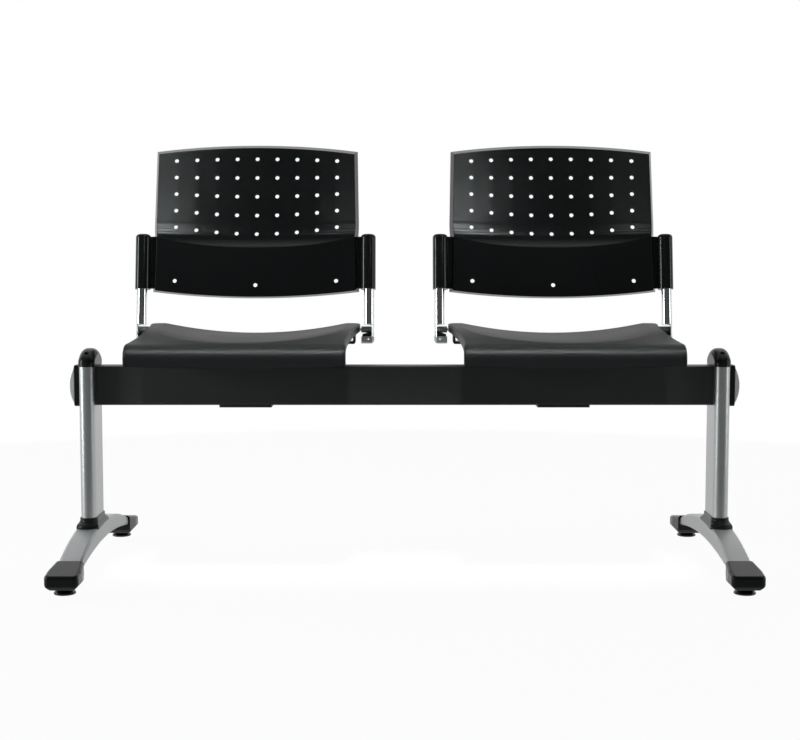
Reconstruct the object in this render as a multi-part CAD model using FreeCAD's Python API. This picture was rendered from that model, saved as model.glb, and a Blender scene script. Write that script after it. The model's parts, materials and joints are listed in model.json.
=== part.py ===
import FreeCAD, Part
import math
import os
from FreeCAD import Vector

# Two-seat beam bench: two perforated shells on chromed posts, carried by a steel beam on two columns.
# Millimetres. X runs along the beam, Y points to the rear, Z is up, and the glides stand on Z = 0.

# Layout
foot_x = 616.0
beam_y = -24.0
seat_pitch = 620.0

# Beam, a 3 x 2 inch steel tube
beam_height = 76.2
beam_depth = 50.8
beam_wall = 3.0
beam_corner = 4.0
beam_bottom = 319.5
beam_half_length = 640.0
beam_top = beam_bottom + beam_height
beam_front = beam_y - beam_depth / 2
beam_rear = beam_y + beam_depth / 2
beam_middle = beam_bottom + beam_height / 2
beam_bolt_radius = 5.0
beam_bolt_length = 11.0
beam_bolt_reach = 4.0
beam_bolt_heights = (beam_bottom + 20.0, beam_top - 20.0)

# Beam ends
end_frame_inner = 632.4
end_frame_outer = 643.0
end_frame_margin = 2.0
end_frame_corner = 6.0
end_frame_edge = 2.0
end_cover_outer = 652.5
end_cover_height = 72.0
end_cover_depth = 47.6
end_cover_corner = 7.0
end_cover_edge = 1.5

# Columns, aluminium extrusions with round noses
column_width = 30.0
column_depth = 94.0
column_wall = 3.0
column_cap_margin = 1.2
column_cap_height = 33.8
column_cap_shoulder = 12.0
column_cap_round = 13.5
cap_slot_y = beam_y - 31.0
cap_slot_z = beam_top + 20.0
cap_slot_radius = 4.5
cap_screw_radius = 2.0
cap_screw_length = 34.0
screw_port_radius = 4.5
screw_port_bore = 2.1
screw_port_web = 2.5
screw_port_bottom = 130.0

# Collar at the foot of a column
collar_base = 68.0
collar_swell = 83.0
collar_neck = 97.0
collar_top = 101.0
collar_neck_margin = 2.4
collar_side_margin = 6.6
collar_nose_margin = 13.0
collar_edge = 1.2

# Feet, cast arches with rounded edges
foot_width = 44.0
foot_half_length = 262.0
arch_top_apex = 85.3
arch_top_radius = 750.0
arch_under_apex = 50.5
arch_under_radius = 1380.0
foot_top_round = 5.0
foot_under_round = 5.0
foot_bolt_reach = 25.0
foot_bolt_radius = 5.0
foot_bolt_head_z = 62.0
foot_bolt_length = 55.0
plug_bottom = 88.0
plug_top = 122.0
below_foot = 30.0
inside_foot = 60.0

# Foot caps and glides
cap_inner = 233.0
cap_outer = 311.0
cap_bottom = 11.5
cap_inner_top = 51.0
cap_outer_top = 38.5
cap_inner_half_width = 26.0
cap_outer_half_width = 31.0
cap_edge_round = 6.0
cap_corner = 10.0
cap_heel = 8.0
cap_toe = 8.0
cap_chamfer = 9.0
cap_well_radius = 12.0
glide_y = 275.0
glide_radius = 20.0
glide_top_radius = 15.5
glide_height = 8.5
glide_socket_floor = 3.0
glide_edge = 1.0
stem_radius = 5.0
running_clearance = 0.05
stem_top = 36.0
stem_bore_top = 40.0
stem_hex = 14.0
stem_hex_height = 4.0
insert_radius = 9.0
insert_bottom = 17.5
insert_top = 34.0

# Seat shell
seat_front = -242.0
seat_rear = 185.0
seat_front_half_width = 203.0
seat_waist_half_width = 202.0
seat_waist_y = -60.0
seat_rear_half_width = 220.5
seat_corner = 16.0
seat_roll_radius = 26.0
seat_front_top = 449.4
seat_wing_slope = 0.0476
scoop_cross_radius = 900.0
scoop_front_y = -196.0
scoop_low_y = -10.0
scoop_low_z = 442.5
scoop_rear_z = 448.2
scoop_half_span = 290.0
scoop_sweep = 32.0
seat_wall = 4.5
seat_flange = 16.0
beside_seat = 260.0
before_seat = -252.0
below_seat = 370.0
above_seat = 520.0
lip_bottom_middle = 406.0
lip_bottom_ends = 412.0
lip_thickness = 14.0
lip_blend = 46.0
seat_edge = 3.5
seat_edge_reach = 4.0
rib_thickness = 2.5
rib_bottom = 430.0
rib_x = (-150.0, -55.0, 0.0, 55.0, 150.0)
rib_front = -205.0
rib_rear = 130.0
cross_rib_y = (-175.0, -105.0, 45.0, 120.0)
cross_rib_half_length = 160.0

# Back shell, drawn upright and then leaned back about the foot of its posts
post_foot_y = 155.0
post_foot_z = 428.0
back_lean = 10.0
band_front = -8.0
panel_front = 16.0
panel_cross_radius = 1250.0
scoop_arc_radius = 80.0
scoop_arc_top = 257.0
scoop_arc_turn = 70.0
back_sweep = 26.0
back_wall = 4.5
back_rim = 20.0
rim_plane_front = -10.0
rim_start = -20.0
rim_plane_rear = 50.0
before_back = -120.0
behind_rim = 90.0
below_back = 60.0
above_back = 480.0
rim_top_slope = 0.5
rim_side_slope = 0.35
rim_bottom_slope = 0.03
back_top_half_width = 202.0
back_low_half_width = 208.0
back_top_corner = 395.0
back_top_middle = 404.0
back_bottom_corner = 109.5
back_bottom_middle = 96.0

# Perforations of the back
hole_radius = 4.2
hole_columns = 9
hole_rows = 5
hole_pitch = 42.2
hole_outer_x = 168.0
hole_middle_first = 232.0
hole_middle_pitch = 40.3
hole_outer_first = 245.1
hole_outer_pitch = 35.4
low_hole_middle = 120.7
low_hole_outer = 129.5
back_rib_x = 105.5
back_rib_top = 226.0
back_rib_height = 150.0
back_rib_depth = 15.0
back_screw_height = 170.0
back_screw_radius = 2.5
back_screw_length = 8.0

# Posts and their sockets
post_x = 236.7
post_radius = 11.0
post_wall = 2.0
post_slip = 0.1
post_top = 220.0
post_shoulder = 39.0
post_foot_height = 13.0
post_foot_inner = 221.0
post_cheek_inner = 242.5
post_foot_half_depth = 9.0
socket_inner = 219.5
socket_outer = 250.5
socket_front = -17.0
socket_rear = 15.0
socket_bottom = 112.7
socket_top = 228.2
socket_round = 13.0
socket_top_round = 7.0
web_inner = 206.0
web_outer = 223.5
web_thickness = 8.0
web_bottom = 114.7
web_top = 224.2
pin_height = 28.5
pin_radius = 6.5
post_foot_corner = 8.0
drain_height = 8.0
drain_radius = 2.2
drain_offset = 1.0
post_bolt_radius = 3.0
post_nut_flats = 10.0
post_nut_height = 5.0
post_bolt_spare = 7.0
post_bolt_head_radius = 5.2
post_bolt_head_height = 2.2
post_bolt_sink = 1.5
buffer_low = 5.0
buffer_high = 9.5
buffer_margin = 2.0
buffer_land = 6.0

# Steel carrier under each seat
saddle_half_length = 130.0
saddle_half_depth = 58.0
saddle_thickness = 6.0
saddle_corner = 12.0
rail_x = 95.0
rail_width = 30.0
rail_wall = 2.5
rail_top = 427.0
rail_front = -195.0
rail_rear = 178.0
rail_end_height = 12.0
rail_front_taper = 75.0
rail_rear_taper = 40.0
rail_corner = 3.0
cross_thickness = 5.0
cross_half_length = 209.0
cross_front = 138.0
cross_rear = 178.0
ear_top = 460.0
ear_bend = 4.5
clamp_half_length = 51.0
clamp_thickness = 4.5
clamp_corner = 3.0
clamp_inset = 1.0
clamp_bolt_x = 35.0
clamp_bolt_radius = 5.0
clamp_spacer_radius = 9.0
bolt_clearance = 0.3
seat_screw_front_y = -150.0
seat_screw_rear_y = 100.0
seat_screw_radius = 2.5
seat_boss_radius = 10.0
seat_screw_length = 10.0
seat_screw_slip = 0.1

# Screws, as shares of the radius of their shank
screw_head_radius = 1.8
screw_head_height = 1.2
screw_socket_flats = 1.2
screw_socket_floor = 0.5

# Tolerances for picking edges
on_plane = 0.01
near = 1.0
parallel = 0.999

origin = Vector(0, 0, 0)
along_x = Vector(1, 0, 0)
along_y = Vector(0, 1, 0)
along_z = Vector(0, 0, 1)


def block(x0, x1, y0, y1, z0, z1):
    return Part.makeBox(x1 - x0, y1 - y0, z1 - z0, Vector(x0, y0, z0))


def rod(start, direction, radius, length):
    return Part.makeCylinder(radius, length, start, direction)


def line(a, b):
    return Part.LineSegment(a, b).toShape()


def arc(a, b, c):
    return Part.Arc(a, b, c).toShape()


def prism(edges, sweep):
    return Part.Face(Part.Wire(edges)).extrude(sweep)


def polygon(points, sweep):
    return Part.Face(Part.makePolygon(points + points[:1])).extrude(sweep)


def rounded(solid, radius, keep):
    return solid.makeFillet(radius, [edge for edge in solid.Edges if keep(edge)])


def middle(edge):
    return edge.valueAt((edge.FirstParameter + edge.LastParameter) / 2)


def runs_along(edge, direction):
    if not isinstance(edge.Curve, Part.Line):
        return False
    return abs(edge.Curve.Direction.dot(direction)) > parallel


def mirrored(shape):
    return shape.mirror(origin, along_x)


def group(solids):
    return Part.makeCompound(solids)


def hexagon(center, across_flats, height):
    radius = across_flats / math.sqrt(3)
    turns = [math.radians(60 * i) for i in range(6)]
    points = [center + Vector(radius * math.cos(a), radius * math.sin(a), 0) for a in turns]
    return polygon(points, Vector(0, 0, height))


def stadium_edges(x, y, width, depth, z0):
    """Level outline with flat sides and a round nose at the front and the rear."""
    radius = width / 2
    reach = depth / 2 - radius
    front, rear = y - reach, y + reach
    return [
        arc(Vector(x - radius, front, z0), Vector(x, front - radius, z0), Vector(x + radius, front, z0)),
        line(Vector(x + radius, front, z0), Vector(x + radius, rear, z0)),
        arc(Vector(x + radius, rear, z0), Vector(x, rear + radius, z0), Vector(x - radius, rear, z0)),
        line(Vector(x - radius, rear, z0), Vector(x - radius, front, z0)),
    ]


def stadium(x, y, width, depth, z0, z1):
    return prism(stadium_edges(x, y, width, depth, z0), Vector(0, 0, z1 - z0))


def screw_down(x, y, seat_z, radius, length):
    """Button-head screw whose head stands on seat_z and whose shank points down."""
    head = rod(Vector(x, y, seat_z), along_z, radius * screw_head_radius, radius * screw_head_height)
    shank = rod(Vector(x, y, seat_z), -along_z, radius, length)
    floor = Vector(x, y, seat_z + radius * screw_socket_floor)
    socket_cut = hexagon(floor, radius * screw_socket_flats, radius)
    return head.fuse(shank).removeSplitter().cut(socket_cut)


def screw_up(x, y, seat_z, radius, length):
    screw = screw_down(0, 0, 0, radius, length)
    screw.rotate(origin, along_x, 180)
    screw.translate(Vector(x, y, seat_z))
    return screw


def screw_along(start, direction, radius, length):
    """Button-head screw whose head stands off start against the given direction."""
    screw = screw_down(0, 0, 0, radius, length)
    screw.Placement = FreeCAD.Placement(start, FreeCAD.Rotation(-along_z, direction))
    return screw


# Beam and its ends

def clamp_bolt_places():
    return [side * seat_pitch / 2 + x for side in (-1, 1) for x in (-clamp_bolt_x, clamp_bolt_x)]


def beam():
    outer = block(-beam_half_length, beam_half_length, beam_front, beam_rear, beam_bottom, beam_top)
    outer = rounded(outer, beam_corner, lambda edge: runs_along(edge, along_x))
    inner = block(-beam_half_length, beam_half_length, beam_front + beam_wall, beam_rear - beam_wall,
                  beam_bottom + beam_wall, beam_top - beam_wall)
    tube = outer.cut(inner)
    holes = [rod(Vector(x, beam_y, beam_bottom), along_z, clamp_bolt_radius + bolt_clearance, beam_height)
             for x in clamp_bolt_places()]
    for side in (-1, 1):
        holes += [rod(Vector(side * foot_x, beam_y, z), along_y, beam_bolt_radius, beam_depth)
                  for z in beam_bolt_heights]
    return tube.cut(holes)


def end_frame():
    half_height = beam_height / 2 + end_frame_margin
    half_depth = beam_depth / 2 + end_frame_margin
    frame = block(end_frame_inner, end_frame_outer, beam_y - half_depth, beam_y + half_depth,
                  beam_middle - half_height, beam_middle + half_height)
    frame = rounded(frame, end_frame_corner, lambda edge: runs_along(edge, along_x))
    frame = rounded(frame, end_frame_edge, lambda edge: middle(edge).x > end_frame_outer - on_plane)
    pocket = block(end_frame_inner - near, beam_half_length, beam_front, beam_rear, beam_bottom, beam_top)
    pocket = rounded(pocket, beam_corner, lambda edge: runs_along(edge, along_x))
    return frame.cut(pocket)


def end_cover():
    """Plain pillow-shaped plate that closes the end frame."""
    rise = end_cover_outer - end_frame_outer
    radius = ((end_cover_height / 2) ** 2 + rise ** 2) / (2 * rise)
    half_depth = end_cover_depth / 2
    plate = block(end_frame_outer, end_cover_outer, beam_y - half_depth, beam_y + half_depth,
                  beam_middle - end_cover_height / 2, beam_middle + end_cover_height / 2)
    plate = rounded(plate, end_cover_corner, lambda edge: runs_along(edge, along_x))
    crown_start = Vector(end_cover_outer - radius, beam_y - end_cover_depth, beam_middle)
    crown = rod(crown_start, along_y, radius, 2 * end_cover_depth)
    cover = plate.common(crown)
    return rounded(cover, end_cover_edge, lambda edge: middle(edge).x > end_frame_outer + near
                   and abs(middle(edge).y - beam_y) > half_depth - 2 * end_cover_edge)


# Columns, caps, collars and feet, drawn for the right-hand leg

def arch_z(apex, radius, y):
    return apex - radius + math.sqrt(radius ** 2 - y ** 2)


def foot_blank():
    ends = foot_half_length
    top = arch_z(arch_top_apex, arch_top_radius, ends)
    under = arch_z(arch_under_apex, arch_under_radius, ends)
    x0 = foot_x - foot_width / 2
    edges = [
        arc(Vector(x0, -ends, top), Vector(x0, 0, arch_top_apex), Vector(x0, ends, top)),
        line(Vector(x0, ends, top), Vector(x0, ends, under)),
        arc(Vector(x0, ends, under), Vector(x0, 0, arch_under_apex), Vector(x0, -ends, under)),
        line(Vector(x0, -ends, under), Vector(x0, -ends, top)),
    ]
    bar = prism(edges, Vector(foot_width, 0, 0))
    bar = rounded(bar, foot_top_round, lambda edge: abs(middle(edge).z - arch_top_apex) < near)
    return rounded(bar, foot_under_round, lambda edge: abs(middle(edge).z - arch_under_apex) < near)


def foot_bolt_places():
    return [(foot_x, beam_y - foot_bolt_reach), (foot_x, beam_y + foot_bolt_reach)]


def foot():
    bar = foot_blank()
    for x, y in foot_bolt_places():
        shank = rod(Vector(x, y, below_foot), along_z, foot_bolt_radius + bolt_clearance,
                    plug_bottom - below_foot)
        sink = rod(Vector(x, y, below_foot), along_z, foot_bolt_radius * 2, foot_bolt_head_z - below_foot)
        bar = bar.cut([shank, sink])
    return bar


def column_blank(z0, z1):
    return stadium(foot_x, beam_y, column_width, column_depth, z0, z1)


def column_room(z0, z1):
    return stadium(foot_x, beam_y, column_width - 2 * column_wall, column_depth - 2 * column_wall, z0, z1)


def screw_port():
    """Web and threaded port inside the front of a column, for the screw of its cap."""
    height = beam_top - screw_port_bottom
    half = screw_port_web / 2
    web = block(foot_x - column_width / 2 + half, foot_x + column_width / 2 - half, cap_slot_y - half,
                cap_slot_y + half, screw_port_bottom, beam_top)
    port = rod(Vector(foot_x, cap_slot_y, screw_port_bottom), along_z, screw_port_radius, height)
    bore = rod(Vector(foot_x, cap_slot_y, screw_port_bottom), along_z, screw_port_bore, height)
    return web.fuse(port).cut(bore)


def bolt_web():
    """Web inside a column, close behind the beam, that the heads of the beam bolts bear on."""
    half = (column_width - column_wall) / 2
    return block(foot_x - half, foot_x + half, beam_rear, beam_rear + beam_bolt_reach,
                 screw_port_bottom, beam_top)


def column():
    tube = column_blank(inside_foot, beam_top).cut(column_room(inside_foot, beam_top)).cut(foot_blank())
    tube = tube.fuse([screw_port(), bolt_web()]).removeSplitter()
    slot = block(foot_x - column_width, foot_x + column_width, beam_front, beam_rear, beam_bottom, beam_top)
    keyholes = [rod(Vector(foot_x, beam_rear, z), along_y, beam_bolt_radius, column_depth)
                for z in beam_bolt_heights]
    return tube.cut([slot] + keyholes)


def column_plug():
    """Threaded block inside the foot of a column, which the foot bolts pull on."""
    plug = column_room(plug_bottom, plug_top)
    height = plug_top - plug_bottom
    holes = [rod(Vector(x, y, plug_bottom), along_z, foot_bolt_radius + bolt_clearance, height)
             for x, y in foot_bolt_places()]
    return plug.cut(holes)


def foot_bolts():
    return [screw_up(x, y, foot_bolt_head_z, foot_bolt_radius, foot_bolt_length)
            for x, y in foot_bolt_places()]


def beam_bolts():
    """Screws from the web of the column into the back wall of the beam."""
    return [screw_along(Vector(foot_x, beam_rear + beam_bolt_reach, z), -along_y,
                        beam_bolt_radius - bolt_clearance, beam_bolt_length) for z in beam_bolt_heights]


def column_cap():
    """Cap over the column and the beam, arched from front to rear and rounded across."""
    width = column_width + 2 * column_cap_margin
    depth = column_depth + 2 * column_cap_margin
    top = beam_top + column_cap_height
    rise = column_cap_height - column_cap_shoulder
    radius = ((depth / 2) ** 2 + rise ** 2) / (2 * rise)
    crown = rod(Vector(foot_x - width, beam_y, top - radius), along_x, radius, 2 * width)
    cap = stadium(foot_x, beam_y, width, depth, beam_top, top).common(crown)
    cap = rounded(cap, column_cap_round, lambda edge: middle(edge).z > beam_top + column_cap_shoulder / 2
                  and not runs_along(edge, along_z))
    pocket = rod(Vector(foot_x, cap_slot_y, cap_slot_z), along_z, cap_slot_radius, column_cap_height)
    bore = rod(Vector(foot_x, cap_slot_y, beam_top), along_z, cap_screw_radius + bolt_clearance,
               column_cap_height)
    return cap.cut([pocket, bore])


def cap_screw():
    return screw_down(foot_x, cap_slot_y, cap_slot_z, cap_screw_radius, cap_screw_length)


def collar_section(margin):
    """Half of an upright section: a neck that hollows out and swells to the given margin."""
    neck = column_width / 2 + collar_neck_margin
    swell = column_width / 2 + margin
    width = swell - neck
    height = collar_neck - collar_swell
    radius = (width ** 2 + height ** 2) / (4 * width)
    turn = math.acos(1 - width / (2 * radius))

    def hollow(t):
        return Vector(neck + radius * (1 - math.cos(t)), 0, collar_neck - radius * math.sin(t))

    def bulge(t):
        return Vector(swell - radius * (1 - math.cos(t)), 0, collar_swell + radius * math.sin(t))

    corners = [Vector(swell, 0, collar_base), Vector(0, 0, collar_base), Vector(0, 0, collar_top),
               Vector(neck, 0, collar_top)]
    return Part.Face(Part.Wire([
        line(corners[3], hollow(0)),
        arc(hollow(0), hollow(turn / 2), hollow(turn)),
        arc(bulge(turn), bulge(turn / 2), bulge(0)),
        line(bulge(0), corners[0]),
        line(corners[0], corners[1]),
        line(corners[1], corners[2]),
        line(corners[2], corners[3]),
    ]))


def collar_run(margin, length):
    """The section carried fore and aft about the middle of the column."""
    half = collar_section(margin).extrude(Vector(0, length, 0))
    half.translate(Vector(0, -length / 2, 0))
    return half.fuse(mirrored(half)).removeSplitter()


def column_collar():
    """Boot over the foot of a column: a narrow neck that swells to a rounded base."""
    nose_gap = column_depth - column_width
    skirt = collar_run(collar_nose_margin, nose_gap)
    for nose_y in (-nose_gap / 2, nose_gap / 2):
        bell = collar_section(collar_nose_margin).revolve(origin, along_z, 360)
        bell.translate(Vector(0, nose_y, 0))
        skirt = skirt.fuse(bell)
    skirt = skirt.removeSplitter().common(collar_run(collar_side_margin, 2 * column_depth))
    skirt.translate(Vector(foot_x, beam_y, 0))
    skirt = rounded(skirt, collar_edge, lambda edge: middle(edge).z > collar_top - on_plane)
    return skirt.cut(column_blank(inside_foot, plug_top)).cut(foot_blank())


# Foot caps and glides, drawn at the front of the right-hand foot

def foot_cap():
    """Shoe over the end of a foot: side view, plan and front view crossed, then softened."""
    inner, outer = -cap_inner, -cap_outer
    a, b = cap_inner_half_width, cap_outer_half_width
    x0 = foot_x - b
    side = polygon([
        Vector(x0, inner, cap_bottom + cap_heel),
        Vector(x0, inner - cap_heel, cap_bottom),
        Vector(x0, outer + cap_toe, cap_bottom),
        Vector(x0, outer, cap_bottom + cap_toe),
        Vector(x0, outer, cap_outer_top),
        Vector(x0, inner, cap_inner_top),
    ], Vector(2 * b, 0, 0))
    plan = polygon([
        Vector(foot_x - a, inner, 0),
        Vector(foot_x - b, -glide_y, 0),
        Vector(foot_x - b, outer, 0),
        Vector(foot_x + b, outer, 0),
        Vector(foot_x + b, -glide_y, 0),
        Vector(foot_x + a, inner, 0),
    ], Vector(0, 0, cap_inner_top))
    plan = rounded(plan, cap_corner, lambda edge: runs_along(edge, along_z) and middle(edge).y < outer + near)
    front = polygon([
        Vector(foot_x - b, outer, cap_bottom + cap_chamfer),
        Vector(foot_x - b + cap_chamfer, outer, cap_bottom),
        Vector(foot_x + b - cap_chamfer, outer, cap_bottom),
        Vector(foot_x + b, outer, cap_bottom + cap_chamfer),
        Vector(foot_x + b, outer, cap_inner_top),
        Vector(foot_x - b, outer, cap_inner_top),
    ], Vector(0, cap_outer - cap_inner, 0))
    shoe = side.common(plan).common(front)
    shoe = rounded(shoe, cap_edge_round, lambda edge: middle(edge).y < inner - near)
    shoe = shoe.cut(foot_blank())
    place = Vector(foot_x, -glide_y, 0)
    well = rod(place + Vector(0, 0, cap_bottom), along_z, cap_well_radius, insert_bottom - cap_bottom)
    seat = rod(place + Vector(0, 0, insert_bottom), along_z, insert_radius, insert_top - insert_bottom)
    bore = rod(place + Vector(0, 0, insert_top), along_z, stem_radius + bolt_clearance,
               stem_bore_top - insert_top)
    return shoe.cut([well, seat, bore])


def glide_insert():
    place = Vector(foot_x, -glide_y, insert_bottom)
    height = insert_top - insert_bottom
    return rod(place, along_z, insert_radius, height).cut(
        rod(place, along_z, stem_radius + running_clearance, height))


def glide_pad():
    points = [(0, 0), (glide_radius - glide_edge, 0), (glide_radius, glide_edge),
              (glide_radius, glide_socket_floor), (glide_top_radius + glide_edge, glide_height - glide_edge),
              (glide_top_radius, glide_height), (0, glide_height)]
    middle_line = Vector(foot_x, -glide_y, 0)
    outline = [middle_line + Vector(r, 0, z) for r, z in points]
    pad = Part.Face(Part.makePolygon(outline + outline[:1])).revolve(middle_line, along_z, 360)
    socket = rod(Vector(foot_x, -glide_y, glide_socket_floor), along_z, stem_radius + running_clearance,
                 glide_height)
    return pad.cut(socket)


def glide_stem():
    shank = rod(Vector(foot_x, -glide_y, glide_socket_floor), along_z, stem_radius,
                stem_top - glide_socket_floor)
    nut = hexagon(Vector(foot_x, -glide_y, glide_height + bolt_clearance), stem_hex, stem_hex_height)
    return shank.fuse(nut).removeSplitter()


def front_and_rear(shape):
    return {"front": shape, "rear": shape.mirror(origin, along_y)}


# Seat shell, drawn about its own middle plane

def wing_z(y):
    return seat_front_top + seat_wing_slope * (y - seat_front - seat_roll_radius)


def scoop_circle():
    """Centre and radius of the scoop's fore-and-aft arc, through three points of the seat's middle line."""
    points = [Vector(0, scoop_front_y, wing_z(scoop_front_y)), Vector(0, scoop_low_y, scoop_low_z),
              Vector(0, seat_rear, scoop_rear_z)]
    circle = arc(*points).Curve
    return circle.Center, circle.Radius


def scoop_cutter(drop):
    """What the scoop removes: an arc over the seat, turned about a line high above it."""
    center, radius = scoop_circle()
    radius = radius + drop
    low = center.z - math.sqrt(radius ** 2 - scoop_half_span ** 2)
    front = Vector(0, center.y - scoop_half_span, low)
    rear = Vector(0, center.y + scoop_half_span, low)
    lift = Vector(0, 0, above_seat - scoop_low_z)
    edges = [
        arc(front, Vector(0, center.y, center.z - radius), rear),
        line(rear, rear + lift),
        line(rear + lift, front + lift),
        line(front + lift, front),
    ]
    face = Part.Face(Part.Wire(edges))
    axis_point = Vector(0, 0, scoop_low_z + scoop_cross_radius)
    face.rotate(axis_point, along_y, -scoop_sweep / 2)
    return face.revolve(axis_point, along_y, scoop_sweep)


def under_seat(drop):
    """Everything below the seat's upper surface lowered by drop, with the rolled front edge."""
    front = seat_front + drop
    radius = seat_roll_radius - drop
    tilt = math.atan(seat_wing_slope)
    pivot_y = seat_front + seat_roll_radius
    pivot_z = seat_front_top - seat_roll_radius
    x0 = -beside_seat
    top_start = Vector(x0, pivot_y - radius * math.sin(tilt), pivot_z + radius * math.cos(tilt))
    half = math.radians(45) + tilt / 2
    bend = Vector(x0, pivot_y - radius * math.sin(half), pivot_z + radius * math.cos(half))
    front_top = Vector(x0, front, pivot_z)
    far = beside_seat
    top_end = Vector(x0, far, top_start.z + seat_wing_slope * (far - top_start.y))
    low = below_seat
    edges = [
        line(Vector(x0, front, low), front_top),
        arc(front_top, bend, top_start),
        line(top_start, top_end),
        line(top_end, Vector(x0, far, low)),
        line(Vector(x0, far, low), Vector(x0, front, low)),
    ]
    return prism(edges, Vector(2 * beside_seat, 0, 0)).cut(scoop_cutter(drop))


def seat_plan(inset):
    front = before_seat
    rear = seat_rear - inset
    a = seat_front_half_width - inset
    b = seat_waist_half_width - inset
    c = seat_rear_half_width - inset
    z0 = below_seat
    edges = [
        line(Vector(-a, front, z0), Vector(a, front, z0)),
        arc(Vector(a, front, z0), Vector(b, seat_waist_y, z0), Vector(c, rear, z0)),
        line(Vector(c, rear, z0), Vector(-c, rear, z0)),
        arc(Vector(-c, rear, z0), Vector(-b, seat_waist_y, z0), Vector(-a, front, z0)),
    ]
    plan = prism(edges, Vector(0, 0, above_seat - below_seat))
    return rounded(plan, seat_corner - inset, lambda edge: runs_along(edge, along_z) and middle(edge).y > 0)


def lip_trim():
    """Space below the gently bowed lower edge of the front lip."""
    y0 = seat_front
    left_high = Vector(-beside_seat, y0, lip_bottom_ends)
    right_high = Vector(beside_seat, y0, lip_bottom_ends)
    left_low = Vector(-beside_seat, y0, below_seat)
    right_low = Vector(beside_seat, y0, below_seat)
    edges = [
        arc(left_high, Vector(0, y0, lip_bottom_middle), right_high),
        line(right_high, right_low),
        line(right_low, left_low),
        line(left_low, left_high),
    ]
    return prism(edges, Vector(0, seat_rear - seat_front, 0))


def flange_trim():
    """Space below the shallow flange round the sides and the rear of the seat."""
    behind_lip = polygon([
        Vector(-beside_seat, seat_front + lip_thickness, below_seat),
        Vector(-beside_seat, seat_front + lip_blend, seat_front_top),
        Vector(-beside_seat, beside_seat, above_seat),
        Vector(-beside_seat, beside_seat, below_seat),
    ], Vector(2 * beside_seat, 0, 0))
    return under_seat(seat_flange).common(behind_lip)


def seat_screw_places():
    return [(x, y) for x in (-rail_x, rail_x) for y in (seat_screw_front_y, seat_screw_rear_y)]


def seat_ribs():
    """Upright ribs under the seat, lengthwise and crosswise."""
    half = rib_thickness / 2
    bars = [block(x - half, x + half, rib_front, rib_rear, rib_bottom, above_seat) for x in rib_x]
    bars += [block(-cross_rib_half_length, cross_rib_half_length, y - half, y + half, rib_bottom, above_seat)
             for y in cross_rib_y]
    return bars


def on_seat_rim(edge):
    """True for the edges along the sides of the seat's upper surface."""
    place = middle(edge)
    on_side = abs(place.x) > seat_waist_half_width - seat_edge_reach
    on_top = place.z > seat_front_top - seat_roll_radius - near and not runs_along(edge, along_z)
    return on_side and on_top and place.y < seat_rear - seat_corner


def seat_shell():
    body = under_seat(0).common(seat_plan(0))
    body = rounded(body, seat_edge, on_seat_rim)
    body = body.cut(lip_trim())
    body = body.cut(flange_trim())
    room = under_seat(seat_wall).common(seat_plan(seat_wall))
    shell = body.cut(room.cut(seat_ribs()))
    bosses = []
    for x, y in seat_screw_places():
        boss = rod(Vector(x, y, rail_top), along_z, seat_boss_radius, above_seat - rail_top)
        boss = boss.common(under_seat(seat_wall / 2))
        bosses.append(boss)
    shell = shell.fuse(bosses).removeSplitter()
    holes = [rod(Vector(x, y, rail_top), along_z, seat_screw_radius, seat_screw_length)
             for x, y in seat_screw_places()]
    return shell.cut(holes + post_bolt_bores())


def seat_screws():
    return [screw_up(x, y, rail_top - rail_wall, seat_screw_radius - seat_screw_slip, seat_screw_length)
            for x, y in seat_screw_places()]


# Back shell, drawn upright with Z measured from the foot of the posts

def lean(shape):
    shape.rotate(origin, along_x, -back_lean)
    shape.translate(Vector(0, post_foot_y, post_foot_z))
    return shape


def post_to_seat(point):
    turn = FreeCAD.Rotation(along_x, -back_lean)
    return turn.multVec(point) + Vector(0, post_foot_y, post_foot_z)


def post_bolt_bores():
    """Clearance bores for the bolts that join each post to the seat and its carrier."""
    bores = []
    inner = cross_half_length - cross_thickness - post_bolt_spare
    for side in (-1, 1):
        start = post_to_seat(Vector(side * inner, 0, pin_height))
        bores.append(rod(start, along_x * side, post_bolt_radius + bolt_clearance, 2 * post_radius))
    return bores


def back_scoop(depth):
    """What the scoop removes: an arc and a straight run, turned about an upright line before the back."""
    center_y = panel_front - scoop_arc_radius
    radius = scoop_arc_radius + depth
    start_turn = math.radians(scoop_arc_turn)
    half_turn = start_turn / 2
    center = Vector(0, center_y, scoop_arc_top)
    start = center + Vector(0, math.cos(start_turn), -math.sin(start_turn)) * radius
    bend = center + Vector(0, math.cos(half_turn), -math.sin(half_turn)) * radius
    tangent = Vector(0, center_y + radius, scoop_arc_top)
    high = above_back
    front = before_back
    edges = [
        arc(start, bend, tangent),
        line(tangent, Vector(0, tangent.y, high)),
        line(Vector(0, tangent.y, high), Vector(0, front, high)),
        line(Vector(0, front, high), Vector(0, front, start.z)),
        line(Vector(0, front, start.z), start),
    ]
    face = Part.Face(Part.Wire(edges))
    axis_point = Vector(0, panel_front - panel_cross_radius, 0)
    face.rotate(axis_point, along_z, -back_sweep / 2)
    return face.revolve(axis_point, along_z, back_sweep)


def behind_back(depth):
    """Everything behind the front surface of the back moved rearward by depth."""
    room = block(-socket_outer, socket_outer, band_front + depth, behind_rim, below_back, above_back)
    return room.cut(back_scoop(depth))


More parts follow.
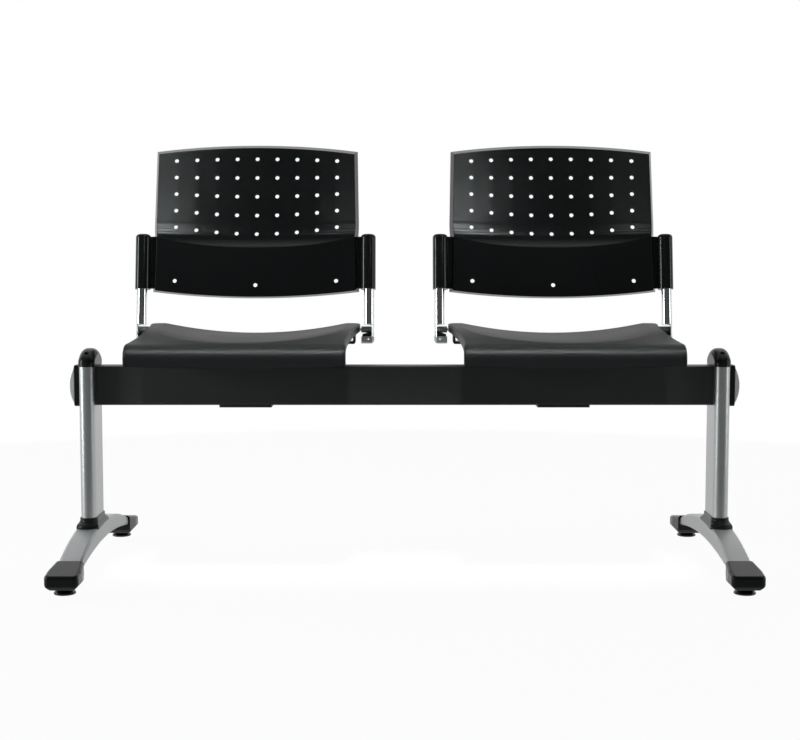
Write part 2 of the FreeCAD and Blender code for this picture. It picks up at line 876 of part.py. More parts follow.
def back_outline(y, inset):
    grow = y - rim_plane_front
    side = rim_side_slope * grow - inset
    top = rim_top_slope * grow - inset
    bottom = rim_bottom_slope * grow - inset
    upper = Vector(back_top_half_width + side, y, back_top_corner + top)
    lower = Vector(back_low_half_width + side, y, back_bottom_corner - bottom)
    upper_left = Vector(-upper.x, y, upper.z)
    lower_left = Vector(-lower.x, y, lower.z)
    return Part.Wire([
        arc(upper_left, Vector(0, y, back_top_middle + top), upper),
        line(upper, lower),
        arc(lower, Vector(0, y, back_bottom_middle - bottom), lower_left),
        line(lower_left, upper_left),
    ])


def back_blank(inset):
    outlines = [back_outline(rim_start, inset), back_outline(rim_plane_rear, inset)]
    return Part.makeLoft(outlines, True, True)


def hole_places():
    half = hole_columns // 2
    places = []
    for row in range(hole_rows):
        middle_z = hole_middle_first + hole_middle_pitch * row
        outer_z = hole_outer_first + hole_outer_pitch * row
        for column_number in range(-half, half + 1):
            x = hole_pitch * column_number
            places.append((x, middle_z + (outer_z - middle_z) * (x / hole_outer_x) ** 2))
    places += [(-hole_outer_x, low_hole_outer), (0.0, low_hole_middle), (hole_outer_x, low_hole_outer)]
    return places


def socket():
    """Post socket moulded on the side of the back, with the web that joins it to the rim."""
    sleeve = block(socket_inner, socket_outer, socket_front, socket_rear, socket_bottom, socket_top)
    sleeve = rounded(sleeve, socket_round, lambda edge: runs_along(edge, along_z))
    sleeve = rounded(sleeve, socket_top_round, lambda edge: middle(edge).z > socket_top - on_plane)
    web = block(web_inner, web_outer, 0, web_thickness, web_bottom, web_top)
    return sleeve.fuse(web)


def back_ribs():
    """Two upright ribs and one level rib in the hollow behind the lumbar band."""
    half = rib_thickness / 2
    bars = [block(x - half, x + half, before_back, behind_rim, below_back, back_rib_top)
            for x in (-back_rib_x, back_rib_x)]
    bars.append(block(-socket_inner, socket_inner, before_back, behind_rim, back_rib_height - half,
                      back_rib_height + half))
    return [bar.cut(behind_back(back_rib_depth)) for bar in bars]


def back_shell():
    body = back_blank(0).common(behind_back(0)).cut(behind_back(back_rim))
    room = back_blank(back_wall).common(behind_back(back_wall))
    shell = body.cut(room.cut(back_ribs()))
    sockets = [part.cut(room) for part in (socket(), mirrored(socket()))]
    shell = shell.fuse(sockets).removeSplitter()
    cuts = [rod(Vector(x, before_back, z), along_y, hole_radius, behind_rim - before_back)
            for x, z in hole_places()]
    for side in (-1, 1):
        cuts.append(rod(Vector(side * post_x, 0, below_back), along_z, post_radius + post_slip,
                        post_top + bolt_clearance - below_back))
        cuts.append(back_screw_bore(side))
    return lean(shell.cut(cuts))


def back_screw_bore(side):
    start = Vector(side * post_x, 0, back_screw_height)
    return rod(start, along_y, back_screw_radius + bolt_clearance, behind_rim)


def back_screws():
    return [lean(screw_along(Vector(side * post_x, socket_rear, back_screw_height), -along_y,
                             back_screw_radius, back_screw_length)) for side in (-1, 1)]


# Chromed posts, their pins and bolts

def post():
    tube = rod(Vector(post_x, 0, post_shoulder), along_z, post_radius, post_top - post_shoulder)
    bore = rod(Vector(post_x, 0, post_shoulder), along_z, post_radius - post_wall, post_top)
    outer = post_x + post_radius
    y0 = -post_foot_half_depth
    corner = post_foot_corner
    slant = corner * (1 - math.sqrt(0.5))
    edges = [
        line(Vector(post_foot_inner, y0, 0), Vector(outer - corner, y0, 0)),
        arc(Vector(outer - corner, y0, 0), Vector(outer - slant, y0, slant), Vector(outer, y0, corner)),
        line(Vector(outer, y0, corner), Vector(outer, y0, post_shoulder)),
        line(Vector(outer, y0, post_shoulder), Vector(outer - 2 * post_radius, y0, post_shoulder)),
        line(Vector(outer - 2 * post_radius, y0, post_shoulder),
             Vector(post_cheek_inner, y0, post_shoulder - post_wall)),
        line(Vector(post_cheek_inner, y0, post_shoulder - post_wall),
             Vector(post_cheek_inner, y0, post_foot_height)),
        line(Vector(post_cheek_inner, y0, post_foot_height), Vector(post_foot_inner, y0, post_foot_height)),
        line(Vector(post_foot_inner, y0, post_foot_height), Vector(post_foot_inner, y0, 0)),
    ]
    hook = prism(edges, Vector(0, 2 * post_foot_half_depth, 0))
    round_end = rod(Vector(post_x, 0, 0), along_z, post_radius, post_shoulder)
    square_end = block(post_foot_inner, post_x, -post_foot_half_depth, post_foot_half_depth,
                       0, post_shoulder)
    hook = hook.common(round_end.fuse(square_end))
    body = tube.cut(bore).fuse(hook).removeSplitter()
    drain_start = Vector(post_x - drain_offset, -post_radius, drain_height)
    drain = rod(drain_start, along_y, drain_radius, 2 * post_radius)
    bolt = rod(Vector(post_foot_inner, 0, pin_height), along_x, post_bolt_radius + bolt_clearance,
               2 * post_radius + socket_outer - post_x)
    return body.cut([drain, bolt, back_screw_bore(1), post_bolt_head(bolt_clearance)])


def post_pin():
    start = Vector(seat_rear_half_width + bolt_clearance, 0, pin_height)
    length = post_cheek_inner - start.x
    return rod(start, along_x, pin_radius, length).cut(
        rod(start, along_x, post_bolt_radius + bolt_clearance, length))


def post_buffer():
    """Rubber wedge that keeps the post from rattling against its foot."""
    y0 = -post_foot_half_depth + buffer_margin
    wedge = polygon([
        Vector(post_foot_inner + buffer_margin, y0, post_foot_height),
        Vector(post_foot_inner + buffer_margin, y0, post_foot_height + buffer_low),
        Vector(post_cheek_inner - buffer_land, y0, post_foot_height + buffer_high),
        Vector(post_cheek_inner, y0, post_foot_height + buffer_high),
        Vector(post_cheek_inner, y0, post_foot_height),
    ], Vector(0, -2 * y0, 0))
    return wedge.cut(rod(Vector(post_foot_inner, 0, pin_height), along_x, pin_radius + bolt_clearance,
                         2 * post_radius))


def post_bolt_head(clearance):
    """Countersunk head inside the cheek, or with a clearance the sink that it lies in."""
    face = post_x + post_radius - post_bolt_sink
    neck = face - post_bolt_head_height
    cone = Part.makeCone(post_bolt_radius + clearance, post_bolt_head_radius + clearance,
                         post_bolt_head_height, Vector(neck, 0, pin_height), along_x)
    if not clearance:
        return cone
    mouth = rod(Vector(face, 0, pin_height), along_x, post_bolt_head_radius + clearance, post_radius)
    return cone.fuse(mouth)


def post_bolt():
    """Sunk bolt through cheek, pin, seat flange and carrier ear, with its nut inside the ear."""
    face = post_x + post_radius - post_bolt_sink
    inner = cross_half_length - cross_thickness - post_bolt_spare
    shank = rod(Vector(inner, 0, pin_height), along_x, post_bolt_radius, face - inner)
    key = hexagon(origin, post_bolt_radius * screw_socket_flats, post_bolt_head_height)
    key.Placement = FreeCAD.Placement(Vector(face, 0, pin_height), FreeCAD.Rotation(along_z, -along_x))
    bolt = shank.fuse(post_bolt_head(0)).removeSplitter().cut(key)
    nut = hexagon(origin, post_nut_flats, post_nut_height)
    nut = nut.cut(rod(origin, along_z, post_bolt_radius, post_nut_height))
    nut.Placement = FreeCAD.Placement(Vector(cross_half_length - cross_thickness, 0, pin_height),
                                      FreeCAD.Rotation(along_z, -along_x))
    return [bolt, nut]


# Steel carrier under a seat, drawn about the seat's middle plane

def saddle():
    plate = block(-saddle_half_length, saddle_half_length, beam_y - saddle_half_depth,
                  beam_y + saddle_half_depth, beam_top, beam_top + saddle_thickness)
    plate = rounded(plate, saddle_corner, lambda edge: runs_along(edge, along_z))
    return plate.cut([rod(Vector(x, beam_y, beam_top), along_z, clamp_bolt_radius + bolt_clearance,
                          saddle_thickness) for x in (-clamp_bolt_x, clamp_bolt_x)])


def clamp_plate():
    plate = block(-clamp_half_length, clamp_half_length, beam_front + clamp_inset, beam_rear - clamp_inset,
                  beam_bottom - clamp_thickness, beam_bottom)
    plate = rounded(plate, clamp_corner, lambda edge: runs_along(edge, along_z))
    low = beam_bottom - clamp_thickness
    return plate.cut([rod(Vector(x, beam_y, low), along_z, clamp_bolt_radius + bolt_clearance,
                          clamp_thickness) for x in (-clamp_bolt_x, clamp_bolt_x)])


def clamp_bolts():
    head_z = beam_top + saddle_thickness
    return [screw_down(x, beam_y, head_z, clamp_bolt_radius, head_z - beam_bottom + clamp_thickness)
            for x in (-clamp_bolt_x, clamp_bolt_x)]


def clamp_spacers():
    low = beam_bottom + beam_wall
    height = beam_height - 2 * beam_wall
    return [rod(Vector(x, beam_y, low), along_z, clamp_spacer_radius, height).cut(
        rod(Vector(x, beam_y, low), along_z, clamp_bolt_radius + bolt_clearance, height))
        for x in (-clamp_bolt_x, clamp_bolt_x)]


def rail(side):
    low = beam_top + saddle_thickness
    x0 = side * rail_x - rail_width / 2
    x1 = x0 + rail_width
    outline = [
        Vector(x0, rail_front, rail_top - rail_end_height),
        Vector(x0, rail_front, rail_top),
        Vector(x0, rail_rear, rail_top),
        Vector(x0, rail_rear, rail_top - rail_end_height),
        Vector(x0, rail_rear - rail_rear_taper, low),
        Vector(x0, rail_front + rail_front_taper, low),
    ]
    bar = polygon(outline, Vector(rail_width, 0, 0))
    bar = rounded(bar, rail_corner, lambda edge: runs_along(edge, along_y)
                  and middle(edge).z > rail_top - on_plane)
    inner = block(x0 + rail_wall, x1 - rail_wall, rail_front, rail_rear, low, rail_top - rail_wall)
    holes = [rod(Vector(side * rail_x, y, low), along_z, seat_screw_radius + bolt_clearance, rail_top - low)
             for y in (seat_screw_front_y, seat_screw_rear_y)]
    return bar.cut([inner] + holes)


def cross_bracket():
    """Rear cross plate with an upturned ear at each end for the posts."""
    t = cross_thickness
    x = cross_half_length
    z = rail_top
    y0 = cross_front
    outline = [Vector(-x, y0, ear_top), Vector(-x, y0, z), Vector(x, y0, z), Vector(x, y0, ear_top),
               Vector(x - t, y0, ear_top), Vector(x - t, y0, z + t), Vector(-x + t, y0, z + t),
               Vector(-x + t, y0, ear_top)]
    plate = polygon(outline, Vector(0, cross_rear - cross_front, 0))
    plate = rounded(plate, ear_bend, lambda edge: runs_along(edge, along_y)
                    and abs(abs(middle(edge).x) - x) < on_plane and middle(edge).z < z + near)
    return plate.cut(post_bolt_bores())


# The assembly

nodes = {"beam": beam()}
leg = {
    "beam_end_frame": end_frame(),
    "beam_end_cover": end_cover(),
    "column": column(),
    "column_cap": column_cap(),
    "column_collar": column_collar(),
    "column_plug": column_plug(),
    "foot": foot(),
}
for name, shape in leg.items():
    nodes[name + "_left"] = mirrored(shape)
    nodes[name + "_right"] = shape

glide = {"foot_cap": foot_cap(), "glide_pad": glide_pad(), "glide_stem": glide_stem()}
for name, shape in glide.items():
    for end, placed in front_and_rear(shape).items():
        nodes[name + "_left_" + end] = mirrored(placed)
        nodes[name + "_right_" + end] = placed

leg_fasteners = {
    "beam_bolts": beam_bolts(),
    "foot_bolts": foot_bolts(),
    "column_cap_screws": [cap_screw()],
    "glide_inserts": list(front_and_rear(glide_insert()).values()),
}
for name, solids in leg_fasteners.items():
    nodes[name] = group([mirrored(solid) for solid in solids] + solids)

chair = {
    "seat_shell": seat_shell(),
    "back_shell": back_shell(),
    "saddle": saddle(),
    "clamp_plate": clamp_plate(),
    "rail_left": rail(-1),
    "rail_right": rail(1),
    "cross_bracket": cross_bracket(),
    "post_right": lean(post()),
}
chair["post_left"] = mirrored(chair["post_right"])
pins = lean(post_pin())
buffers = lean(post_buffer())
chair["post_pins"] = group([mirrored(pins), pins])
chair["post_buffers"] = group([mirrored(buffers), buffers])
chair_fasteners = {
    "seat_screws": seat_screws(),
    "back_screws": back_screws(),
    "clamp_bolts": clamp_bolts(),
    "clamp_spacers": clamp_spacers(),
    "post_bolts": [lean(solid) for solid in post_bolt()],
}
chair_fasteners["post_bolts"] += [mirrored(solid) for solid in chair_fasteners["post_bolts"]]
chair_places = {"left": Vector(-seat_pitch / 2, 0, 0), "right": Vector(seat_pitch / 2, 0, 0)}
for side, place in chair_places.items():
    for name, shape in chair.items():
        nodes[side + "_" + name] = shape.translated(place)
for name, solids in chair_fasteners.items():
    nodes[name] = group([solid.translated(place) for place in chair_places.values() for solid in solids])

os.makedirs("parts", exist_ok=True)
for name, shape in nodes.items():
    shape.exportStep("parts/" + name + ".step")
    print(name, len(shape.Solids), shape.isValid(), round(shape.Volume))
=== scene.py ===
import json
import math

import bmesh
import bpy
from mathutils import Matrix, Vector


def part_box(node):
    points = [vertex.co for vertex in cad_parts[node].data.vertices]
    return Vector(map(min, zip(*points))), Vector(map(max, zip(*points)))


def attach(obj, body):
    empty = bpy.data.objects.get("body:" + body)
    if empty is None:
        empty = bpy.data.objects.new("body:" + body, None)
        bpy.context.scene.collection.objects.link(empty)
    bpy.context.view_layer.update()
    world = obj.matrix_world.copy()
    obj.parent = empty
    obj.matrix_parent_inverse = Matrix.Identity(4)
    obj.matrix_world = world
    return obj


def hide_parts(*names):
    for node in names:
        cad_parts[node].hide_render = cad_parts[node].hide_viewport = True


# Looks of a two-seat beam bench: moulded shells, powder-coated steel, satin silver legs and chromed posts.
# Metres. X runs along the beam, Y points to the rear, Z is up, and the glides stand on Z = 0.

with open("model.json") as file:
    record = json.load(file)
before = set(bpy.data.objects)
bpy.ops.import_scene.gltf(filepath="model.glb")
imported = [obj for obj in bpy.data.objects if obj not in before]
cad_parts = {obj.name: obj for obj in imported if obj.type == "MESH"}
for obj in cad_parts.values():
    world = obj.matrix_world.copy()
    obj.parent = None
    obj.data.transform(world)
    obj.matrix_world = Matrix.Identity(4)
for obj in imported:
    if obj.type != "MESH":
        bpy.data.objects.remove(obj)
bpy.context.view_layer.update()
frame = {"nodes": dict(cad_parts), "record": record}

full_turn = 2 * math.pi

# Camera, in the photograph's picture of 800 x 740 pixels
picture_width = 800
focal_pixels = 1480.0
sensor_width = 36.0
camera_place = Vector((-0.0088, -2.916, 0.620))
camera_down = math.radians(4.62)

# Floor. It lies where the glides reach when they are screwed right out
floor_height = -0.0102
floor_reach = 14.0
floor_level = 0.42
floor_seen_level = 0.92
floor_glow = 0.95
floor_mirrored_glow = 0.85
floor_fade_start = 1.1
floor_fade_end = 2.4

# Floor before the bench that is mirrored dark: the Y where each of its soft ends starts and stops
dark_floor_front = (-6.2, -3.4)
dark_floor_rear = (-0.7, 0.0)

# Room around the bench
plain_white = (1.0, 1.0, 1.0)
room_level = 0.08
backdrop_level = 0.80
backdrop_start = -0.35
backdrop_full = 0.60

# Lamps: name, place, target, width, height, level, and spread in degrees
lamp_tint = (0.94, 1.0, 1.0)
open_spread = 180.0
lamps = (("seat_front_box", (0.0, -1.88, 3.0), (0.0, -0.29, 0.45), 1.12, 0.20, 2300.0, 5.0),
         ("left_side_strip", (-2.6, -0.7, 0.8), (-0.2, 0.0, 0.4), 0.40, 1.5, 18.0, open_spread),
         ("right_side_strip", (2.6, -0.7, 0.8), (0.2, 0.0, 0.4), 0.40, 1.5, 6.0, open_spread))

# Banks of gridded boxes that the backs mirror
bank_target_y = 0.21
bank_target_z = 0.78
bank_distance = 3.2
bank_spread = 6.0

# Boxes of every bank, from low to high: rise in degrees, height, share of the bank's level
bank_steps = ((17.0, 0.16, 10.0), (26.5, 0.30, 2.0), (31.5, 0.36, 5.5),
              (38.5, 0.50, 5.5), (47.5, 0.50, 7.0), (56.5, 0.50, 5.0))

# Banks: name, place along the beam, turn of the lowest and of the highest box in degrees, width, level
banks = (("left_key", -0.46, 9.0, 11.0, 0.42, 7.5), ("left_fill", -0.14, -20.0, -28.0, 0.40, 1.2),
         ("right_key", 0.16, 20.5, 28.0, 0.48, 7.5), ("right_fill", 0.47, -7.0, -8.0, 0.30, 1.2))

# Height up to which the posts are flattened and dull, and the run from there to full polish
post_foot_top = 0.441
post_polish_run = 0.002

# Hard edges: how far the eased normal has to lean, as 1 less the cosine, to show a little and to show fully
edge_start = 0.02
edge_full = 0.25
edge_samples = 6

# Fineness of the marks on small metal parts along X, Y and Z
sawn_marks = (90.0, 90.0, 1500.0)
turned_marks = (80.0, 80.0, 2200.0)
plated_marks = (300.0, 300.0, 300.0)

# Brass, where it is bright and where it is tarnished
brass_light = (0.70, 0.50, 0.22, 1.0)
brass_dark = (0.48, 0.32, 0.13, 1.0)

# Threaded stems of the glides
shank_radius = 0.0050
thread_pitch = 0.0015
thread_depth = 0.0009
thread_steps = 28
thread_rows_per_turn = 8
thread_lead = 0.0012
thread_lead_cut = 0.0008

# Hexagon of the stems. The trims limit its corners, on its chamfered faces and on its sides
hex_low = 0.0088
hex_high = 0.0128
hex_flats = 0.0140
hex_bevel = 0.0006
hex_face_trim = 1.04
hex_side_trim = 1.2
hex_steps = 48

# Weld beads under the seats
bead_size = 0.0045
bead_ripple = 0.0005
bead_ripple_pitch = 0.0035
bead_rows_per_ripple = 4
bead_least_rows = 8
bead_end_share = 0.25
bead_end_growth = 6
bead_crown = 0.80
saddle_bead_inset = 0.012
bracket_bead_inset = 0.004

# Angle from which the edges of the pieces made here are sharp
sharp_angle = math.radians(35)

# Sockets of a Mix node that mixes colours
mix_share = 0
mix_first = 6
mix_second = 7
mix_result = 2


class Field:
    """One socket in a finish. Arithmetic on it adds Math nodes."""

    middle = 0.5

    def __init__(self, finish, socket):
        self.finish = finish
        self.socket = socket

    def __add__(self, other):
        return self.finish.math("ADD", self, other)

    def __sub__(self, other):
        return self.finish.math("SUBTRACT", self, other)

    def __rsub__(self, other):
        return self.finish.math("SUBTRACT", other, self)

    def __mul__(self, other):
        return self.finish.math("MULTIPLY", self, other)

    __radd__ = __add__

    def swing(self, reach):
        """The field around zero instead of around its middle, reach from end to end."""
        return (self - self.middle) * reach


class Finish:
    """The node tree of a material or of the world, built up by expressions."""

    def __init__(self, owner):
        self.owner = owner
        owner.use_nodes = True
        self.tree = owner.node_tree
        self.tree.nodes.clear()

    def add(self, kind, settings=None, sockets=None, output=0):
        """One of the outputs of a new node, or the node itself where it has none."""
        node = self.tree.nodes.new(kind)
        for name, value in (settings or {}).items():
            setattr(node, name, value)
        for name, value in (sockets or {}).items():
            if isinstance(value, Field):
                self.tree.links.new(value.socket, node.inputs[name])
            else:
                node.inputs[name].default_value = value
        return Field(self, node.outputs[output]) if node.outputs else node

    def math(self, operation, *values):
        return self.add("ShaderNodeMath", {"operation": operation}, dict(enumerate(values)))

    def shade(self, share, a, b):
        """Colour between a and b."""
        return self.add("ShaderNodeMix", {"data_type": "RGBA"},
                        {mix_share: share, mix_first: a, mix_second: b}, mix_result)

    def clouded(self, cloud, level, reach, dark_cool, light_cool):
        """Grey that goes with the cloud from reach below its level to reach above it."""
        return self.shade(cloud, grey(level * (1 - reach), dark_cool), grey(level * (1 + reach), light_cool))

    def place(self):
        """Place on the piece, in the bench's own metres."""
        return self.add("ShaderNodeTexCoord", output="Object")

    def along(self, place, axis):
        """One coordinate of a place."""
        return self.add("ShaderNodeSeparateXYZ", None, {0: place}, axis)

    def noise(self, place, scale, detail=2.0, rough=0.5):
        return self.add("ShaderNodeTexNoise", None,
                        {"Vector": place, "Scale": scale, "Detail": detail, "Roughness": rough})

    def streaks(self, place, fineness, detail=2.0):
        """Noise with a fineness of its own along X, Y and Z."""
        stretched = self.add("ShaderNodeVectorMath", {"operation": "MULTIPLY"}, {0: place, 1: fineness})
        return self.noise(stretched, scale=1.0, detail=detail)

    def cells(self, place, scale):
        return self.add("ShaderNodeTexVoronoi", None, {"Vector": place, "Scale": scale})

    def between(self, field, low, high):
        """0 below low, 1 above high, and smooth in between."""
        return self.add("ShaderNodeMapRange", {"interpolation_type": "SMOOTHSTEP"},
                        {"Value": field, "From Min": low, "From Max": high})

    def eased(self, radius):
        """Normal that rounds hard edges off by the given radius."""
        return self.add("ShaderNodeBevel", {"samples": edge_samples}, {"Radius": radius})

    def edge(self, radius):
        """1 on hard edges, 0 on open faces."""
        flat = self.add("ShaderNodeNewGeometry", output="Normal")
        cosine = self.add("ShaderNodeVectorMath", {"operation": "DOT_PRODUCT"},
                          {0: self.eased(radius), 1: flat}, "Value")
        return self.between(1 - cosine, edge_start, edge_full)

    def bump(self, height, depth, normal, strength):
        """Normal with a relief of the given depth."""
        return self.add("ShaderNodeBump", None,
                        {"Height": height, "Distance": depth, "Normal": normal, "Strength": strength})

    def paint(self, level):
        return self.add("ShaderNodeBsdfDiffuse", None, {"Color": grey(level)})

    def glow(self, level, tint):
        """Light of the world around the bench."""
        return self.add("ShaderNodeBackground", None, {"Color": (*tint, 1.0), "Strength": level})

    def blend(self, share, a, b):
        """Shader between a and b."""
        return self.add("ShaderNodeMixShader", None, {0: share, 1: a, 2: b})

    def surface(self, sockets):
        """The finished material."""
        skin = self.add("ShaderNodeBsdfPrincipled", None, sockets)
        self.add("ShaderNodeOutputMaterial", None, {"Surface": skin})
        return self.owner

    def ray(self, name):
        """1 for one kind of ray, 0 for the others."""
        return self.add("ShaderNodeLightPath", output="Is " + name + " Ray")

    def mirrored(self):
        """1 for what is seen in a mirror or through glass."""
        return self.ray("Glossy") + self.ray("Transmission")


def new_finish(name):
    return Finish(bpy.data.materials.new(name))


def grey(level, cool=0.0):
    """Neutral colour, a little cooler where cool is positive and warmer where it is negative."""
    return (level * (1 - cool), level, level * (1 + cool), 1.0)


# Finishes

def grained_plastic(name, level, rough, gloss, grain_size, grain_depth, edge_radius):
    """Moulded plastic with a spark-eroded grain, faint cloudiness and fine scratches."""
    scratch_fineness = (35.0, 900.0, 300.0)
    scratch_rough = 0.08
    worn_share = 0.25
    worn_gain = 2.2
    worn_polish = 0.05
    finish = new_finish(name)
    place = finish.place()
    grain = finish.noise(place, scale=1 / grain_size, detail=3.0, rough=0.6)
    cloud = finish.noise(place, scale=9.0, detail=4.0)
    scratch = finish.between(finish.streaks(place, scratch_fineness), low=0.66, high=0.72)
    edge = finish.edge(edge_radius)
    base = finish.clouded(cloud, level, reach=0.15, dark_cool=0.05, light_cool=0.06)
    base = finish.shade(edge * worn_share, base, grey(level * worn_gain, cool=0.01))
    roughness = rough + cloud.swing(reach=0.10) + scratch * scratch_rough - edge * worn_polish
    normal = finish.bump(grain, grain_depth, finish.eased(edge_radius), strength=0.6)
    return finish.surface({"Base Color": base, "Roughness": roughness, "Normal": normal,
                           "Specular IOR Level": gloss})


def powder_coat(name, level, rough):
    """Matt black powder coat with a fine orange peel."""
    peel_depth = 0.00012
    edge_radius = 0.0015
    worn_share = 0.2
    worn_gain = 2.5
    speck_rough = 0.05
    finish = new_finish(name)
    place = finish.place()
    peel = finish.noise(place, scale=620.0, detail=1.0)
    speck = finish.cells(place, scale=1500.0)
    cloud = finish.noise(place, scale=5.0, detail=3.0)
    edge = finish.edge(edge_radius)
    base = finish.clouded(cloud, level, reach=0.1, dark_cool=0.01, light_cool=0.02)
    base = finish.shade(edge * worn_share, base, grey(level * worn_gain))
    roughness = rough + cloud.swing(reach=0.08) + speck * speck_rough
    normal = finish.bump(peel, peel_depth, finish.eased(edge_radius), strength=0.5)
    return finish.surface({"Base Color": base, "Roughness": roughness, "Normal": normal,
                           "Specular IOR Level": 0.35})


def silver_extrusion(name, level, rough):
    """Satin silver on an extrusion, with faint die lines along its length."""
    line_fineness = (1400.0, 1400.0, 6.0)
    line_depth = 0.000008
    edge_radius = 0.0008
    finish = new_finish(name)
    place = finish.place()
    lines = finish.streaks(place, line_fineness, detail=3.0)
    flake = finish.noise(place, scale=2600.0, detail=1.0)
    cloud = finish.noise(place, scale=7.0, detail=3.0)
    base = finish.clouded(cloud, level, reach=0.04, dark_cool=0.004, light_cool=0.012)
    roughness = rough + lines.swing(reach=0.04) + flake.swing(reach=0.05)
    normal = finish.bump(lines, line_depth, finish.eased(edge_radius), strength=0.4)
    return finish.surface({"Base Color": base, "Metallic": 0.92, "Roughness": roughness, "Normal": normal})


def silver_casting(name, level, rough):
    """Satin silver paint over a casting, with flake and a faint ripple."""
    ripple_depth = 0.00006
    edge_radius = 0.0012
    worn_share = 0.3
    worn_gain = 1.2
    finish = new_finish(name)
    place = finish.place()
    flake = finish.noise(place, scale=2400.0, detail=1.0)
    ripple = finish.noise(place, scale=160.0)
    cloud = finish.noise(place, scale=8.0, detail=3.0)
    edge = finish.edge(edge_radius)
    base = finish.clouded(cloud, level, reach=0.05, dark_cool=0.004, light_cool=0.012)
    base = finish.shade(edge * worn_share, base, grey(level * worn_gain))
    roughness = rough + flake.swing(reach=0.10) + cloud.swing(reach=0.06)
    normal = finish.bump(ripple, ripple_depth, finish.eased(edge_radius), strength=0.35)
    return finish.surface({"Base Color": base, "Metallic": 0.50, "Roughness": roughness, "Normal": normal})


def chrome_plate(name):
    """Polished chrome with faint smears, dull and mottled on the flattened foot of each post."""
    smear_fineness = (60.0, 60.0, 14.0)
    smear_rough = 0.08
    polished_rough = 0.05
    dull_rough = 0.35
    dull_share = 0.8
    mottle_depth = 0.0001
    edge_radius = 0.0006
    finish = new_finish(name)
    place = finish.place()
    height = finish.along(place, "Z")
    dull = 1 - finish.between(height, post_foot_top, post_foot_top + post_polish_run)
    smear = finish.streaks(place, smear_fineness, detail=4.0)
    mottle = finish.noise(place, scale=420.0, detail=3.0)
    polished = finish.shade(smear, grey(0.70, cool=0.004), grey(0.78, cool=0.010))
    base = finish.shade(dull, polished, finish.shade(mottle, grey(0.62), grey(0.88)))
    smeared = finish.between(smear, low=0.45, high=0.75)
    roughness = polished_rough + smeared * smear_rough + dull * dull_rough
    normal = finish.bump(mottle * dull, mottle_depth, finish.eased(edge_radius), strength=0.4)
    return finish.surface({"Base Color": base, "Metallic": 1 - dull * dull_share, "Roughness": roughness,
                           "Normal": normal})


def bright_metal(name, light, dark, rough, line_fineness):
    """Plated or bare small metal with turning marks and tarnish."""
    line_depth = 0.00002
    edge_radius = 0.0004
    worn_share = 0.5
    finish = new_finish(name)
    place = finish.place()
    lines = finish.streaks(place, line_fineness)
    tarnish = finish.noise(place, scale=130.0, detail=4.0)
    edge = finish.edge(edge_radius)
    base = finish.shade(finish.between(tarnish, low=0.35, high=0.70), light, dark)
    base = finish.shade(edge * worn_share, base, light)
    roughness = rough + lines.swing(reach=0.12) + tarnish.swing(reach=0.15)
    normal = finish.bump(lines, line_depth, finish.eased(edge_radius), strength=0.4)
    return finish.surface({"Base Color": base, "Metallic": 1.0, "Roughness": roughness, "Normal": normal})


def soft_rubber(name, level, rough):
    """Matt rubber with fine pits and a dusty bloom."""
    pit_depth = 0.00008
    edge_radius = 0.0008
    bloom_share = 0.4
    bloom_gain = 3
    finish = new_finish(name)
    place = finish.place()
    pits = finish.noise(place, scale=1100.0, detail=3.0, rough=0.6)
    bloom = finish.between(finish.noise(place, scale=60.0, detail=3.0), low=0.5, high=0.8)
    base = finish.shade(bloom * bloom_share, grey(level), grey(level * bloom_gain))
    normal = finish.bump(pits, pit_depth, finish.eased(edge_radius), strength=0.6)
    return finish.surface({"Base Color": base, "Roughness": rough + pits.swing(reach=0.2), "Normal": normal})


finishes = {
    "seat_plastic": grained_plastic("seat_charcoal_plastic", level=0.007, rough=0.47, gloss=0.20,
                                    grain_size=0.0008, grain_depth=0.00005, edge_radius=0.0016),
    "back_plastic": grained_plastic("back_black_plastic", level=0.010, rough=0.16, gloss=0.30,
                                    grain_size=0.0008, grain_depth=0.00002, edge_radius=0.0016),
    "black_moulding": grained_plastic("cap_black_plastic", level=0.010, rough=0.28, gloss=0.18,
                                      grain_size=0.0007, grain_depth=0.00002, edge_radius=0.0012),
    "glide_plastic": grained_plastic("glide_black_plastic", level=0.006, rough=0.20, gloss=0.50,
                                     grain_size=0.0009, grain_depth=0.00002, edge_radius=0.0006),
    "pin_grey": grained_plastic("pin_grey_plastic", level=0.230, rough=0.40, gloss=0.50,
                                grain_size=0.0006, grain_depth=0.00003, edge_radius=0.0006),
    "black_steel": powder_coat("beam_black_coat", level=0.034, rough=0.45),
    "silver_column": silver_extrusion("column_silver", level=0.43, rough=0.36),
    "silver_foot": silver_casting("foot_silver", level=0.43, rough=0.40),
    "silver_cover": silver_casting("end_cover_silver", level=0.85, rough=0.40),
    "post_chrome": chrome_plate("post_chrome"),
    "buffer_rubber": soft_rubber("buffer_rubber", level=0.010, rough=0.75),
    "plug_aluminium": bright_metal("plug_sawn_aluminium", grey(0.62), grey(0.48),
                                   rough=0.40, line_fineness=sawn_marks),
    "insert_brass": bright_metal("insert_turned_brass", brass_light, brass_dark,
                                 rough=0.30, line_fineness=turned_marks),
    "stem_steel": bright_metal("stem_zinc", grey(0.62, cool=0.01), grey(0.45, cool=-0.02),
                               rough=0.30, line_fineness=plated_marks),
    "zinc_steel": bright_metal("fastener_zinc", grey(0.60, cool=0.01), grey(0.42, cool=-0.02),
                               rough=0.32, line_fineness=plated_marks),
}


def dress(piece, slot):
    """Give a piece the finish of its slot."""
    piece.data.materials.clear()
    piece.data.materials.append(finishes[slot])


slot_of = {part["node"]: part["material_slot"] for part in frame["record"]["subparts"]}
for name, node in frame["nodes"].items():
    dress(node, slot_of[name])


# Pieces made here

def new_object(name, data):
    """Object in the scene."""
    thing = bpy.data.objects.new(name, data)
    bpy.context.scene.collection.objects.link(thing)
    return thing


